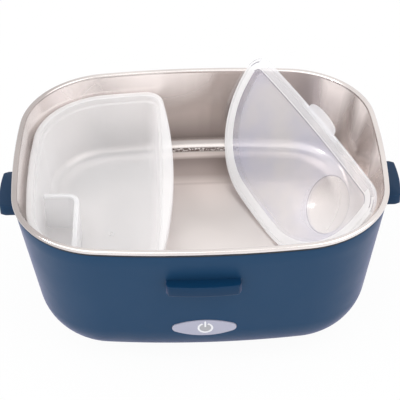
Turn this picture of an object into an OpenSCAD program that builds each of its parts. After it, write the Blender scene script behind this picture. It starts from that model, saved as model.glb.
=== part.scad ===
// Electric lunch box: a casing with a lift-out steel tray, a food box that stands in the tray
// and the box's own lid, which leans in the tray beside it.
// Origin: middle of the plane that the feet stand on. X is the length, the front faces -Y.

/* [Casing outline] */
// Half of the length at the rim
half_l = 115; // [112:1:118]
// Half of the width at the rim
half_w = 94; // [92:1:97]
// Radius of the plan corners
corner_r = 58; // [56:1:60]
// Radius of the bowed front and back
front_r = 580; // [500:10:800]
// Radius of the bowed ends
end_r = 500; // [400:10:700]

/* [Casing heights] */
// Top of the tray rim above the feet
rim_top = 105; // [104:0.5:108]
// How far the feet stand out of the bottom
foot_h = 1.5; // [1:0.1:2]
// Radius of the bottom edge
bottom_r = 36; // [33:1:37]
// Lean of the side walls from upright
taper = 8.6; // [8:0.1:9]
// Wall thickness of the casing
wall = 2; // [1.8:0.1:2.1]

/* [Catches] */
// Length of the front and back catch
catch_front_l = 44; // [30:1:60]
// Length of the two end catches
catch_end_l = 36; // [25:1:50]
// Height of a catch
catch_h = 7; // [5:0.5:9]
// Top of the catches above the feet
catch_top = 80.5; // [76:0.5:84]
// Reach of the front catch from the middle of the casing
catch_front_reach = 97.6; // [95:0.1:100]
// Reach of the end catches from the middle of the casing
catch_end_reach = 126; // [120:0.5:128]

/* [Tray] */
// Sheet thickness of the tray
sheet = 0.8; // [0.6:0.1:1]
// Width of the rolled rim
roll_w = 3.6; // [3.5:0.1:3.7]
// Height of the rolled rim
roll_h = 3.2; // [3:0.1:3.6]
// Inside of the tray floor above the feet
tray_floor = 49.3; // [49:0.1:49.5]
// Radius between the tray wall and its floor
tray_r = 9; // [8:0.5:10]

/* [Food box] */
// Reach of the food box towards the left end
box_half_l = 107.2; // [100:0.1:107.4]
// Half of the food box's width
box_half_w = 86.2; // [80:0.1:86.4]
// Radius of the two large corners of the food box
box_corner_r = 49.5; // [49:0.5:52]
// Place of the middle of its bowed inner edge
box_edge_x = -16.2; // [-22:0.1:-15]
// Radius of that bowed edge
box_edge_r = 460; // [400:10:600]
// Top of the food box flange above the feet
box_top = 92.5; // [88:0.5:93]
// Wall thickness of the food box
box_wall = 1.4; // [1.2:0.1:1.6]

/* [Food box lid] */
// Tilt of the leaning lid about its own length
lid_tilt = 56.8; // [56.6:0.1:57]
// Roll of the leaning lid
lid_roll = 5.2; // [5:0.1:5.4]
// Turn of the leaning lid about the upright
lid_turn = 19.35; // [19.2:0.05:19.5]
// Diameter of the round dish in the lid
dish_d = 36; // [24:1:38]
// Depth of the dish
dish_h = 4; // [3:0.5:4]

/* [Power button] */
// Length of the oval button
button_l = 39; // [30:1:41]
// Height of the oval button
button_w = 14.4; // [12:0.2:15]
// Height of the button's middle above the feet
button_z = 35.2; // [35:0.2:38]
// Travel of the button
button_travel = 0.8; // [0.4:0.1:0.8]

/* [Hidden] */
$fn = 48;
broad = 360;    // facets of a full turn on long, flat arcs
eps = 0.01;

// ---- outlines: closed lists of tangent arcs, each [centre, radius, start angle, end angle, steps] ----

// Centre of a circle at distance r0 from c0 and r1 from c1, on the right of the line c0 to c1
function meet(c0, r0, c1, r1) =
    let (d = norm(c1 - c0), e = (c1 - c0) / d, t = (r0 * r0 - r1 * r1 + d * d) / (2 * d))
    c0 + t * e + sqrt(r0 * r0 - t * t) * [e[1], -e[0]];
function bearing(v) = atan2(v[1], v[0]);

// Oblong with bowed sides: half lengths a and b, corners rc, front and back rf, ends re
function oblong(a, b, rc, rf, re) =
    let (cf = [0, b - rf], ce = [a - re, 0], c = meet(cf, rf - rc, ce, re - rc),
         te = bearing(c - ce), tf = bearing(c - cf))
    [[ce, re, -te, te, 4], [c, rc, te, tf, 11],
     [cf, rf, tf, 180 - tf, 6], [[-c[0], c[1]], rc, 180 - tf, 180 - te, 11],
     [-ce, re, 180 - te, 180 + te, 4], [-c, rc, 180 + te, 180 + tf, 11],
     [-cf, rf, 180 + tf, 360 - tf, 6], [[c[0], -c[1]], rc, 360 - tf, 360 - te, 11]];

// The left part of an oblong, closed on the right by an edge of radius rb through x = xe
function dee(a, b, rc, rf, re, xe, rb, r2) =
    let (o = oblong(a, b, rc, rf, re), cf = [0, b - rf], cb = [xe - rb, 0],
         s = meet(cf, rf - r2, cb, rb - r2), ts = bearing(s - cb), tb = bearing(s - cf))
    [[cb, rb, -ts, ts, 10], [s, r2, ts, tb, 6],
     [cf, rf, tb, o[2][3], 2], o[3], o[4], o[5],
     [-cf, rf, o[6][2], 360 - tb, 2], [[s[0], -s[1]], r2, 360 - tb, 360 - ts, 6]];

function arc_points(k) =
    [for (i = [0:k[4] - 1]) let (t = k[2] + (k[3] - k[2]) * i / k[4]) k[0] + k[1] * [cos(t), sin(t)]];
function level(arcs, z) = [for (k = arcs) each [for (p = arc_points(k)) [p[0], p[1], z]]];

// The casing's outline moved out by u, and the food box's moved in by d
function casing(u, z) = level(oblong(half_l + u, half_w + u, corner_r + u, front_r + u, end_r + u), z);
function dee_line(d, l, w, rc, xe, rb, r2, z) =
    level(dee(l - d, w - d, rc - d, front_r - d, end_r - d, xe - d, rb, r2), z);

// Skin over a list of levels that have equally many points. An open loft is closed by its first and
// last level, and a looped one returns from its last level to its first.
module loft(levels, looped = false) {
    n = len(levels[0]);
    m = len(levels);
    sides = [for (i = [0:m - (looped ? 1 : 2)], j = [0:n - 1])
        let (a = i * n, b = ((i + 1) % m) * n, k = (j + 1) % n) [a + j, b + j, b + k, a + k]];
    caps = looped ? [] : [[for (j = [0:n - 1]) j], [for (j = [n - 1:-1:0]) (m - 1) * n + j]];
    polyhedron(points = [for (v = levels) each v], faces = concat(sides, caps), convexity = 8);
}

// A quarter round of radius r about [uc, zc] in a profile, from angle t0 to t1
function round_rows(uc, zc, r, t0, t1, steps) =
    [for (i = [0:steps]) let (t = t0 + (t1 - t0) * i / steps) [uc + r * cos(t), zc + r * sin(t)]];
// Middle of the bottom round of a leaning wall through [u1, z1], with radius r and its bottom at z0
function round_u(u1, z1, z0, r, lean) = u1 - (z1 - z0 - r) * tan(lean) - r / cos(lean);

// ---- small shapes ----
module rounded(l, w, r) {
    square([l - 2 * r, w], center = true);
    square([l, w - 2 * r], center = true);
    for (x = [-1, 1], y = [-1, 1]) translate([x * (l / 2 - r), y * (w / 2 - r)]) circle(r = r);
}
module slab(l, w, r, z0, z1) {
    translate([0, 0, z0]) linear_extrude(z1 - z0) rounded(l, w, r);
}
// Oval of four tangent arcs: l long, w high, r the radius of its ends
module oval(l, w, r) {
    c = l / 2 - r;
    big = (c * c + w * w / 4 - r * r) / (w - 2 * r);
    xt = c * big / (big - r);
    intersection() {
        translate([0, big - w / 2]) circle(r = big, $fn = broad);
        translate([0, w / 2 - big]) circle(r = big, $fn = broad);
        square([2 * xt, w], center = true);
    }
    for (s = [-1, 1]) translate([s * c, 0]) circle(r = r);
}
// Screw that goes up from z = 0, with its slotted head below
module screw(d, len, head_d, head_h) {
    difference() {
        union() {
            translate([0, 0, -head_h]) cylinder(d = head_d, h = head_h);
            cylinder(d = d, h = len);
        }
        for (a = [0, 90]) rotate([0, 0, a]) translate([-head_d * 0.3, -0.35, -head_h - eps])
            cube([head_d * 0.6, 0.7, head_h * 0.45]);
    }
}
// Round wire along a list of points
module wire(points, d) {
    for (i = [0:len(points) - 2]) {
        v = points[i + 1] - points[i];
        translate(points[i]) rotate([0, acos(v[2] / norm(v)), atan2(v[1], v[0])])
            cylinder(d = d, h = norm(v), $fn = 24);
        if (i > 0) translate(points[i]) sphere(d = d, $fn = 24);
    }
}

// ---- casing ----
seal_h = 0.5;
lip_t = 0.8;                    // the well's flange, which lies on the casing's top edge
casing_top = rim_top - roll_h - seal_h - lip_t;
opening_u = -50;                // bottom opening, measured from the rim outline
shell_top_u = -1;
rebate_u = -2.1;                // the wall is thinner at the top, where the well is close to it
rebate_z = 81.5;
round_steps = 8;

front_inset = (casing_top - button_z) * tan(taper) - shell_top_u;
button_at = [0, -(half_w - front_inset), button_z];
module at_button() translate(button_at) rotate([90 + taper, 0, 0]) children();
function button_point(p) = button_at
    + [p[0], -p[1] * sin(taper) - p[2] * cos(taper), p[1] * cos(taper) - p[2] * sin(taper)];

inlet_z = 27;
inlet_face = half_w - 11;       // the flat face that the inlet is fixed to
inlet_l = 22;
inlet_w = 13;
inlet_flange_l = 38;
inlet_flange_w = 18;
inlet_screw_x = 15.5;
boss_x = 57;
boss_y = 31;
frame_x = 27;

shell_rows = let (
    ro = round_u(shell_top_u, casing_top, foot_h, bottom_r, taper),
    inner = shell_top_u - wall, ri = bottom_r - wall,
    rn = round_u(inner, casing_top, foot_h + wall, ri, taper))
    concat([[opening_u, foot_h]],
        round_rows(ro, foot_h + bottom_r, bottom_r, 270, 360 - taper, round_steps),
        [[shell_top_u - 0.1, casing_top - 0.5], [shell_top_u - 0.4, casing_top], [rebate_u, casing_top],
         [rebate_u - (casing_top - rebate_z) * tan(taper), rebate_z],
         [inner - (casing_top - rebate_z) * tan(taper), rebate_z]],
        round_rows(rn, foot_h + wall + ri, ri, 360 - taper, 270, round_steps),
        [[opening_u, foot_h + wall]]);

// A catch: a bar with a bowed face, its ends cut off at a slant, and a slot under it for the clip
module catch_bar(l, reach, near) {
    bow = 1.5;
    face_r = (l * l / 4 + bow * bow) / (2 * bow);
    cut = 3;
    translate([0, 0, catch_top - catch_h]) difference() {
        linear_extrude(catch_h) intersection() {
            polygon([[-l / 2, near], [l / 2, near], [l / 2, reach - cut - bow], [l / 2 - cut * 0.45, reach],
                     [cut * 0.45 - l / 2, reach], [-l / 2, reach - cut - bow]]);
            translate([0, reach - face_r]) circle(r = face_r, $fn = broad);
        }
        translate([-l / 2 + 4, reach - 5, -eps]) cube([l - 8, 2.6, 2]);
    }
}

module outer_shell() {
    color("#34506c") difference() {
        union() {
            loft([for (p = shell_rows) casing(p[0], p[1])], looped = true);
            for (s = [0, 180]) rotate([0, 0, s]) {
                catch_bar(catch_front_l, catch_front_reach, half_w - 6);
                rotate([0, 0, 90]) catch_bar(catch_end_l, catch_end_reach, half_l - 6);
            }
            translate([0, inlet_face, inlet_z]) rotate([90, 0, 0]) linear_extrude(8) rounded(42, 21, 5);
            for (s = [-1, 1]) at_button() translate([s * frame_x, 0, -5.4]) cylinder(d = 6, h = 3.8);
        }
        at_button() translate([0, 0, -20]) linear_extrude(30) oval(button_l + 0.6, button_w + 0.6, 3.9);
        translate([0, inlet_face + 10, inlet_z]) rotate([90, 0, 0])
            linear_extrude(40) rounded(inlet_l + 0.6, inlet_w + 0.6, 3.3);
        translate([0, inlet_face + 10, inlet_z]) rotate([90, 0, 0])
            linear_extrude(10) rounded(inlet_flange_l + 0.6, inlet_flange_w + 0.6, 5.3);
        for (s = [-1, 1]) {
            translate([s * inlet_screw_x, inlet_face + 1, inlet_z]) rotate([90, 0, 0])
                cylinder(d = 2.4, h = 9);
            at_button() translate([s * frame_x, 0, -6]) cylinder(d = 2.2, h = 4.6);
        }
    }
}

// ---- well that the tray hangs in ----
tray_lean = 11.2;
tray_u = -roll_w;               // inner face of the tray at the rim
gap = 0.35;                     // between tray and well
well_wall = 0.8;
well_floor = tray_floor - sheet - 0.8;
plate_l = 96;
plate_w = 64;
flange_l = 102;
flange_w = 84;
plate_top = tray_floor - sheet - 0.3;
pad_h = 2.2;
plate_step = well_floor - well_wall - pad_h;    // where the plate's flange meets the pads
plate_under = plate_step - 2;
pad_x = 42;
pad_y = 37;

hang_z = rim_top - roll_h / 2;
well_rows = let (
    wi = tray_u + sheet + gap, ri = tray_r + sheet + gap,
    ui = round_u(wi, hang_z, well_floor, ri, tray_lean), lip = casing_top + lip_t,
    wo = wi + well_wall - (hang_z - casing_top) * tan(tray_lean))
    concat(round_rows(ui, well_floor + ri, ri + well_wall, 270, 360 - tray_lean, 3),
        [[wo, casing_top], [shell_top_u - 0.3, casing_top],
         [shell_top_u - 0.3, lip], [wi - (hang_z - lip) * tan(tray_lean), lip]],
        round_rows(ui, well_floor + ri, ri, 360 - tray_lean, 270, 3));

module inner_well() {
    color("#20262c") difference() {
        union() {
            loft([for (p = well_rows) casing(p[0], p[1])]);
            for (x = [-1, 1], y = [-1, 1]) {
                translate([x * pad_x, y * pad_y, plate_step]) cylinder(d = 9, h = pad_h + well_wall / 2);
                translate([x * boss_x, y * boss_y, foot_h + wall])
                    cylinder(d = 8, h = well_floor - well_wall / 2 - foot_h - wall);
            }
        }
        slab(plate_l + 1, plate_w + 1, 8.5, 0, 60);
        for (x = [-1, 1], y = [-1, 1]) {
            translate([x * pad_x, y * pad_y, plate_step - eps]) cylinder(d = 2.5, h = 3.5);
            translate([x * boss_x, y * boss_y, foot_h + wall - eps]) cylinder(d = 2.5, h = 12);
        }
    }
}
module rim_seal() {
    z0 = casing_top + lip_t;
    z1 = z0 + seal_h;
    color("#55595c") loft([for (p = [[-1.5, z0], [-1.5, z1], [-2.7, z1], [-2.7, z0]]) casing(p[0], p[1])],
        looped = true);
}

// ---- heater ----
module heating_plate() {
    color("silver") difference() {
        union() {
            slab(plate_l, plate_w, 8, plate_under, plate_top);
            slab(flange_l, flange_w, 8, plate_under, plate_step);
        }
        for (x = [-1, 1], y = [-1, 1])
            translate([x * pad_x, y * pad_y, plate_under - 1]) cylinder(d = 3.2, h = 4);
        for (s = [-1, 1]) {
            translate([0, s * 17.5, plate_under - 1]) cylinder(d = 2.8, h = 5);
            translate([-41.5, s * 13, plate_under - 1]) cylinder(d = 2.4, h = 4.5);
        }
        translate([fuse_screw_x, 0, plate_under - 1]) cylinder(d = 2.4, h = 4.5);
    }
}
module plate_screws() {
    color("gainsboro") for (x = [-1, 1], y = [-1, 1])
        translate([x * pad_x, y * pad_y, plate_under]) screw(2.5, 5, 5, 1.8);
}
heater_h = 7;
fuse_z = plate_under - 2.4;     // also the height of the heater's leads
module heater_element() {
    color("#c9cbc8") {
        difference() {
            translate([0, 0, plate_under - heater_h]) linear_extrude(heater_h) rounded(64, 24, 2);
            for (y = [-9:3:9]) translate([-33, y - 0.5, plate_under - heater_h - eps]) cube([66, 1, 1.2]);
        }
        for (s = [-1, 1]) translate([s * 28, -12, fuse_z]) rotate([90, 0, 0]) cylinder(d = 3.2, h = 2);
    }
}
clamp_t = 1.2;
module heater_clamp() {
    z1 = plate_under - heater_h;
    color("lightgray") difference() {
        union() {
            translate([-7, -13.4, z1 - clamp_t]) cube([14, 26.8, clamp_t]);
            for (s = [0, 180]) rotate([0, 0, s]) {
                translate([-7, 12.2, z1 - clamp_t]) cube([14, clamp_t, heater_h + clamp_t]);
                translate([-7, 12.2, plate_under - clamp_t]) cube([14, 10, clamp_t]);
            }
        }
        for (s = [-1, 1]) translate([0, s * 17.5, plate_under - 2]) cylinder(d = 3, h = 3);
    }
}
module clamp_screws() {
    color("gainsboro") for (s = [-1, 1])
        translate([0, s * 17.5, plate_under - clamp_t]) screw(2.8, 5, 5.4, 2);
}
pad_top = plate_under - heater_h - clamp_t;
module insulation_pad() {
    color("#d8d0b8") slab(52, 40, 3, pad_top - 3, pad_top);
}
module thermostat() {
    color("#3b3d40") translate([-41.5, 0, plate_under]) {
        translate([0, 0, -2.2]) cylinder(d = 16, h = 2.2);
        translate([0, 0, -8.6]) cylinder(d = 14, h = 6.4);
        for (s = [-1, 1]) translate([-3, s * 5 - 0.4, -14.6]) cube([6, 0.8, 6.1]);
    }
}
module thermostat_strap() {
    color("lightgray") difference() {
        translate([-41.5, 0, plate_under - 3.2]) {
            linear_extrude(1) rounded(16, 32, 4);
            for (s = [-1, 1]) translate([-4, s * 13 - 2.8, 1]) cube([8, 5.6, 2.2]);
        }
        translate([-41.5, 0, plate_under - 4]) cylinder(d = 14.2, h = 3);
        for (s = [-1, 1]) translate([-41.5, s * 13, plate_under - 4]) cylinder(d = 2.6, h = 5);
    }
}
module strap_screws() {
    color("gainsboro") for (s = [-1, 1])
        translate([-41.5, s * 13, plate_under - 3.2]) screw(2.4, 6, 4.4, 1.6);
}
fuse_x = 37;
module thermal_fuse() {
    color("#c8b98a") translate([fuse_x, 6, fuse_z]) rotate([90, 0, 0]) {
        cylinder(d = 4.4, h = 12);
        translate([0, 0, -3]) cylinder(d = 1.2, h = 18);
    }
}
fuse_screw_x = fuse_x + 7.4;
module fuse_clip() {
    color("lightgray") difference() {
        union() {
            translate([fuse_x - 3.6, -3, fuse_z - 3.2]) cube([7.2, 6, 5.6]);
            translate([fuse_x + 3.5, -3, plate_under - 1]) cube([7.2, 6, 1]);
        }
        translate([fuse_x, 20, fuse_z]) rotate([90, 0, 0]) cylinder(d = 4.5, h = 40);
        translate([fuse_x - 2.25, -10, fuse_z]) cube([4.5, 30, 4]);
        translate([fuse_screw_x, 0, plate_under - 2]) cylinder(d = 2.6, h = 3);
    }
}
module fuse_screw() {
    color("gainsboro") translate([fuse_screw_x, 0, plate_under - 1]) screw(2.4, 4.4, 4.4, 1.6);
}

// ---- mains inlet and wiring ----
block_at = [-36, 32, foot_h + wall];
wire_z = 8.5;
wire_d = 2.2;
module terminal_block() {
    color("#ece7d8") translate(block_at) difference() {
        translate([-13, -7, 0]) cube([26, 14, 11]);
        for (x = [-8, 0, 8]) {
            translate([x, 0, 6.5]) cylinder(d = 4, h = 5);
            for (y = [-3, 8]) translate([x, y, wire_z - block_at[2]]) rotate([90, 0, 0])
                cylinder(d = 2.8, h = 5);
        }
    }
}
socket_depth = 16;
module power_inlet() {
    color("#1d2126") translate([0, inlet_face, inlet_z]) rotate([-90, 0, 0]) difference() {
        union() {
            translate([0, 0, -21]) linear_extrude(21.5) rounded(inlet_l, inlet_w, 3);
            linear_extrude(1.6) rounded(inlet_flange_l, inlet_flange_w, 5);
        }
        translate([0, 0, 1.6 - socket_depth]) linear_extrude(socket_depth + 1) {
            square([9.5, 10.5], center = true);
            for (s = [-1, 1]) translate([s * 4.75, 0]) circle(d = 10.5);
        }
        for (s = [-1, 1]) {
            translate([s * inlet_screw_x, 0, -1]) cylinder(d = 2.6, h = 4);
            translate([s * 4.3, 0, -22]) cylinder(d = 2.4, h = 12);
        }
    }
}
pin_tail = inlet_face - 25;
module inlet_pins() {
    color("#c8c2b0") for (s = [-1, 1]) translate([s * 4.3, pin_tail, inlet_z]) rotate([-90, 0, 0]) {
        cylinder(d = 2.4, h = 22);
        translate([0, 0, 22]) cylinder(d1 = 2.4, d2 = 1.4, h = 1.2);
    }
}
module inlet_screws() {
    color("gainsboro") for (s = [-1, 1])
        translate([s * inlet_screw_x, inlet_face + 1.6, inlet_z]) rotate([90, 0, 0])
            screw(2.4, 7, 4.6, 1.5);
}
module inlet_wires() {
    color("#7a4b2a") {
        wire([[-4.3, pin_tail, inlet_z], [-4.3, 50, inlet_z], [-28, 50, inlet_z], [-28, 50, wire_z],
              [-28, 36, wire_z]], wire_d);
        wire([[4.3, pin_tail, inlet_z], [4.3, 45, inlet_z], [4.3, 45, 19], [-44, 45, 19], [-44, 45, wire_z],
              [-44, 36, wire_z]], wire_d);
    }
}
thermostat_tail = plate_under - 14.6;
module heater_wires() {
    color("#b23a32") {
        wire([[-44, 28, wire_z], [-44, 5, wire_z], [-44, 5, thermostat_tail]], wire_d);
        wire([[-44, -5, thermostat_tail], [-44, -5, 20], [-44, -15.5, 20], [-28, -15.5, 20],
              [-28, -15.5, fuse_z], [-28, -14, fuse_z]], wire_d);
        wire([[28, -14, fuse_z], [28, -17, fuse_z], [fuse_x, -17, fuse_z], [fuse_x, -9, fuse_z]], wire_d);
        wire([[fuse_x, 9, fuse_z], [fuse_x, 21.5, fuse_z], [fuse_x, 21.5, wire_z], [-28, 21.5, wire_z],
              [-28, 28, wire_z]], wire_d);
    }
}
board_back = -14;
board_screw_x = 19;
stem_end = -7;                  // where the button's stem ends, short of the switch by its travel
// Where the back of the board is at height z
function board_y(z) =
    button_point([0, (z - button_z + board_back * sin(taper)) / cos(taper), board_back])[1];
module board_wires() {
    color("#4a6da0") for (s = [-1, 1]) {
        x = block_at[0] + s * 0.75;
        z = 30 - s * 0.8;
        wire([[x, 28, wire_z], [x, -50, wire_z], [x, -50, z], [-15, -50, z],
              [-15, board_y(z) + 0.2, z]], 1.3);
    }
}

// ---- power button and its board ----
module button_frame() {
    color("#2c3036") at_button() difference() {
        union() {
            translate([0, -3.2, -8]) linear_extrude(2.6) rounded(62, 17.6, 6);
            for (s = [-1, 1]) translate([s * board_screw_x, 0, -12.4]) cylinder(d = 5, h = 5);
        }
        translate([0, 0, -9]) linear_extrude(4) rounded(28, 8, 3.9);
        for (s = [-1, 1]) {
            translate([s * frame_x, 0, -9]) cylinder(d = 2.4, h = 5);
            translate([s * board_screw_x, 0, -13]) cylinder(d = 1.6, h = 5);
        }
    }
}
module frame_screws() {
    color("gainsboro") at_button() for (s = [-1, 1])
        translate([s * frame_x, 0, -8]) screw(2.2, 5.5, 4.4, 1.6);
}
module control_board() {
    color("#2f6b45") at_button() difference() {
        translate([0, -5, board_back]) linear_extrude(1.6) rounded(48, 19, 1.5);
        for (s = [-1, 1]) translate([s * board_screw_x, 0, -15]) cylinder(d = 1.8, h = 4);
    }
}
module tact_switch() {
    color("#26282b") at_button() {
        translate([-3, -3, -12.4]) cube([6, 6, 3.6]);
        translate([0, 0, -8.8]) cylinder(d = 3.4, h = stem_end + 8.7 - button_travel);
    }
}
module status_led() {
    color("#e9f2ee") at_button() translate([10, 0, -12.4]) {
        cylinder(d = 3.8, h = 1);
        cylinder(d = 3, h = 3.2);
        translate([0, 0, 3.2]) sphere(d = 3);
    }
}
module board_screws() {
    color("gainsboro") at_button() for (s = [-1, 1])
        translate([s * board_screw_x, 0, board_back]) screw(1.6, 5, 3.4, 1.2);
}
module power_button() {
    crown = front_r - front_inset;
    color("#b9b9cb") at_button() {
        intersection() {
            translate([0, 0, -3.4]) linear_extrude(6) oval(button_l, button_w, 3.6);
            translate([0, 0, 0.45 - crown]) rotate([90, 0, 0])
                cylinder(r = crown, h = 40, center = true, $fn = 1440);
        }
        translate([0, 0, -4.3]) linear_extrude(1) oval(button_l + 4, button_w + 1.6, 4);
        translate([0, 0, stem_end]) cylinder(d = 4, h = -3.9 - stem_end);
    }
}

// ---- bottom ----
foot_x = 46;
foot_y = 24;
module bottom_cover() {
    cover = [for (p = casing(opening_u - 0.3, 0)) [p[0], p[1]]];
    top = foot_h + wall;
    color("#1f2429") difference() {
        union() {
            translate([0, 0, foot_h]) linear_extrude(wall) polygon(cover);
            for (x = [-1, 1], y = [-1, 1]) translate([x * 22, y * 16, top - eps])
                cylinder(d = 5, h = pad_top - 3 - top + eps);
            for (y = [-22, 0, 22]) translate([-20, y - 0.8, top - eps]) cube([40, 1.6, 2]);
            for (x = [-20, 20]) translate([x - 0.8, -22, top - eps]) cube([1.6, 44, 2]);
        }
        for (x = [-1, 1], y = [-1, 1]) {
            translate([x * boss_x, y * boss_y, 0]) cylinder(d = 2.9, h = 10);
            translate([x * boss_x, y * boss_y, 0]) cylinder(d = 5.4, h = foot_h + 1.3);
            translate([x * foot_x, y * foot_y, 0]) cylinder(d = 12.4, h = foot_h + 1);
        }
    }
}
module cover_screws() {
    color("gainsboro") for (x = [-1, 1], y = [-1, 1])
        translate([x * boss_x, y * boss_y, foot_h + 1.3]) screw(2.5, 10, 5, 1.2);
}
module rubber_feet() {
    color("#15171a") for (x = [-1, 1], y = [-1, 1]) translate([x * foot_x, y * foot_y, 0]) {
        translate([0, 0, 0.4]) cylinder(d = 12, h = foot_h + 0.6);
        cylinder(d1 = 11.2, d2 = 12, h = 0.4);
    }
}

// ---- steel tray ----
tray_rows = let (
    ri = tray_r, zr = hang_z, rr = roll_h / 2,
    ui = round_u(tray_u, zr, tray_floor, ri, tray_lean))
    concat(round_rows(ui, tray_floor + ri, ri + sheet, 270, 360 - tray_lean, 5),
        [[tray_u + sheet - rr * tan(tray_lean), zr - rr]],
        round_rows(-rr, zr, rr, 270, 450, 5),
        round_rows(tray_u + rr, zr, rr, 90, 170, 2),
        round_rows(ui, tray_floor + ri, ri, 360 - tray_lean, 270, 5));
module steel_tray() {
    color("#c9bcb6") loft([for (p = tray_rows) casing(p[0], p[1])]);
}

// ---- food box ----
box_under = tray_floor + 0.3;
box_floor = box_under + box_wall;
// The wall behind the bowed edge is nearly straight, so the flange is widest in its middle
function box_line(d, z) = let (behind = min(max(d - 1.3, 0) / 1.6, 1))
    dee_line(d, box_half_l, box_half_w, box_corner_r, box_edge_x - 2.7 * behind,
        box_edge_r + 840 * behind, max(12 - d * 0.7, 4), z);
box_lean = 4;
ledge_d = 2.9;                  // the wall below the flange, then a step inwards at a ledge
step_d = 1.5;
ledge_z = 86.6;
box_rows = let (
    zf = box_top - 1.5, r = 7,
    out = ledge_d + step_d + (ledge_z - box_under - r) * tan(box_lean), in = out + box_wall)
    [[out + 7, box_under], [out + 3.6, box_under + 0.9], [out + 1.2, box_under + 3.2], [out, box_under + r],
     [ledge_d + step_d, ledge_z], [ledge_d, ledge_z + 0.4], [ledge_d, zf], [1.3, zf], [1.3, zf - 2.5],
     [0, zf - 2.5], [0, box_top - 0.5], [0.5, box_top], [ledge_d + box_wall, box_top],
     [ledge_d + box_wall, ledge_z + box_wall], [ledge_d + step_d + box_wall, ledge_z + box_wall - 0.4],
     [in, box_floor + r - box_wall], [in + 1, box_floor + 2.2], [in + 3.2, box_floor + 0.4],
     [in + 6, box_floor]];
pocket_x = -75.7;
pocket_y = -3;
pocket_top = 78;
pocket_wall = 1.5;
pocket_lip = 3;
module food_box() {
    color("#dfe0e4") {
        loft([for (p = box_rows) box_line(p[0], p[1])]);
        intersection() {
            loft([for (p = [box_rows[3], [ledge_d + step_d, ledge_z]]) box_line(p[0] + 0.5, p[1])]);
            union() {
                pocket_bend(box_floor - 0.5, pocket_top, pocket_wall);
                pocket_bend(pocket_top - 1.5, pocket_top, pocket_lip);
            }
        }
    }
}
// Two upright walls of thickness t that meet in a rounded corner
module pocket_bend(z0, z1, t) {
    l = 60;
    w = 80;
    translate([pocket_x - l, pocket_y - w, 0]) difference() {
        translate([0, 0, z0]) linear_extrude(z1 - z0) rounded_corner(l, w, 8);
        translate([0, 0, z0 - 1]) linear_extrude(z1 - z0 + 2) rounded_corner(l - t, w - t, 8 - t);
    }
}
// A rectangle from the origin, with only its far corner rounded
module rounded_corner(l, w, r) {
    square([l - r, w]);
    square([l, w - r]);
    translate([l - r, w - r]) circle(r = r);
}

// ---- food box lid ----
lid_l = 103.6;
lid_w = 81.8;
lid_corner_r = 60;
lid_edge = -25;
lid_pivot_x = -60;              // point on the flat lid's axis of symmetry
lid_mid = [56.2, 10.35, 87.95]; // where that point is in the leaning pose
rim_band = 8;
panel_drop = 3;
lid_t = 1.4;
lid_skirt = 2.5;
function lid_line(d, z) =
    dee_line(d, lid_l, lid_w, lid_corner_r, lid_edge, 1500, max(14 - d, 4), z);
lid_rows = [[rim_band + 2, -panel_drop - lid_t], [rim_band + 0.2, -panel_drop - lid_t],
    [rim_band - 1.4, -lid_t], [1.3, -lid_t], [1.3, -lid_skirt], [0, -lid_skirt], [0, -0.6], [0.6, 0],
    [rim_band, 0],
    [rim_band + 1.6, -panel_drop], [rim_band + 3, -panel_drop]];
dish_at = [-58.6, -45.8];
tab_at = -4;
module lid_flat() {
    cap_r = (dish_d * dish_d / 4 + dish_h * dish_h) / (2 * dish_h);
    difference() {
        union() {
            loft([for (p = lid_rows) lid_line(p[0], p[1])]);
            translate([lid_edge - 4, tab_at, -lid_t]) linear_extrude(lid_t) intersection() {
                translate([-3, 0]) rounded(26, 30, 10);
                translate([0, -30]) square([40, 60]);
            }
            translate([dish_at[0], dish_at[1], -panel_drop - dish_h + cap_r]) intersection() {
                sphere(r = cap_r + lid_t, $fn = 96);
                translate([0, 0, -cap_r - lid_t - 1]) cylinder(d = dish_d + 3, h = dish_h + lid_t);
            }
        }
        translate([dish_at[0], dish_at[1], -panel_drop - dish_h + cap_r]) sphere(r = cap_r, $fn = 96);
    }
}
module box_lid() {
    color("#e4e5ea") translate(lid_mid) rotate([lid_roll, -lid_tilt, lid_turn])
        translate([-lid_pivot_x, 0, 0]) lid_flat();
}

outer_shell();
inner_well();
rim_seal();
heating_plate();
plate_screws();
heater_element();
heater_clamp();
clamp_screws();
insulation_pad();
thermostat();
thermostat_strap();
strap_screws();
thermal_fuse();
fuse_clip();
fuse_screw();
terminal_block();
power_inlet();
inlet_pins();
inlet_screws();
inlet_wires();
heater_wires();
board_wires();
button_frame();
frame_screws();
control_board();
tact_switch();
status_led();
board_screws();
bottom_cover();
cover_screws();
rubber_feet();
power_button();
steel_tray();
food_box();
box_lid();
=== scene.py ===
# %% [markdown]
# # Electric lunch box
# The frame holds every solid of the lunch box at its real place. This script dresses it: smooth
# shells for the casing, the steel tray, the food box and its lid, and a finish for each piece.
# The camera is set first, so that each new piece can be judged in the final view.

# %% Load the frame
import math

import bmesh
import bpy
from mathutils import Matrix, Vector


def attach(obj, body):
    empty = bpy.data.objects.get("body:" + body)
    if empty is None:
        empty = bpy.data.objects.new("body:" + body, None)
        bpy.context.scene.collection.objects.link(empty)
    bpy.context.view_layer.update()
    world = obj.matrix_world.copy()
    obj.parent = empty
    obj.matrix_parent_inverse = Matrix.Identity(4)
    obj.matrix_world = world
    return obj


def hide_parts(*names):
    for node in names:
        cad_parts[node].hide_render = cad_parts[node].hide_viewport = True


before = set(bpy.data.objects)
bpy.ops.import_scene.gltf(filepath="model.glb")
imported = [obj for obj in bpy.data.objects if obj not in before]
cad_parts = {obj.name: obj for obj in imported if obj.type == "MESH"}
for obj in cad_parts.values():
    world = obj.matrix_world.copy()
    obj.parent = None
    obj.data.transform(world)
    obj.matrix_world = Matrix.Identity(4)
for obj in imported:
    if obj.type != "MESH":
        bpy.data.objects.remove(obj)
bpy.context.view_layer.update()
MM = 0.001

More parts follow.
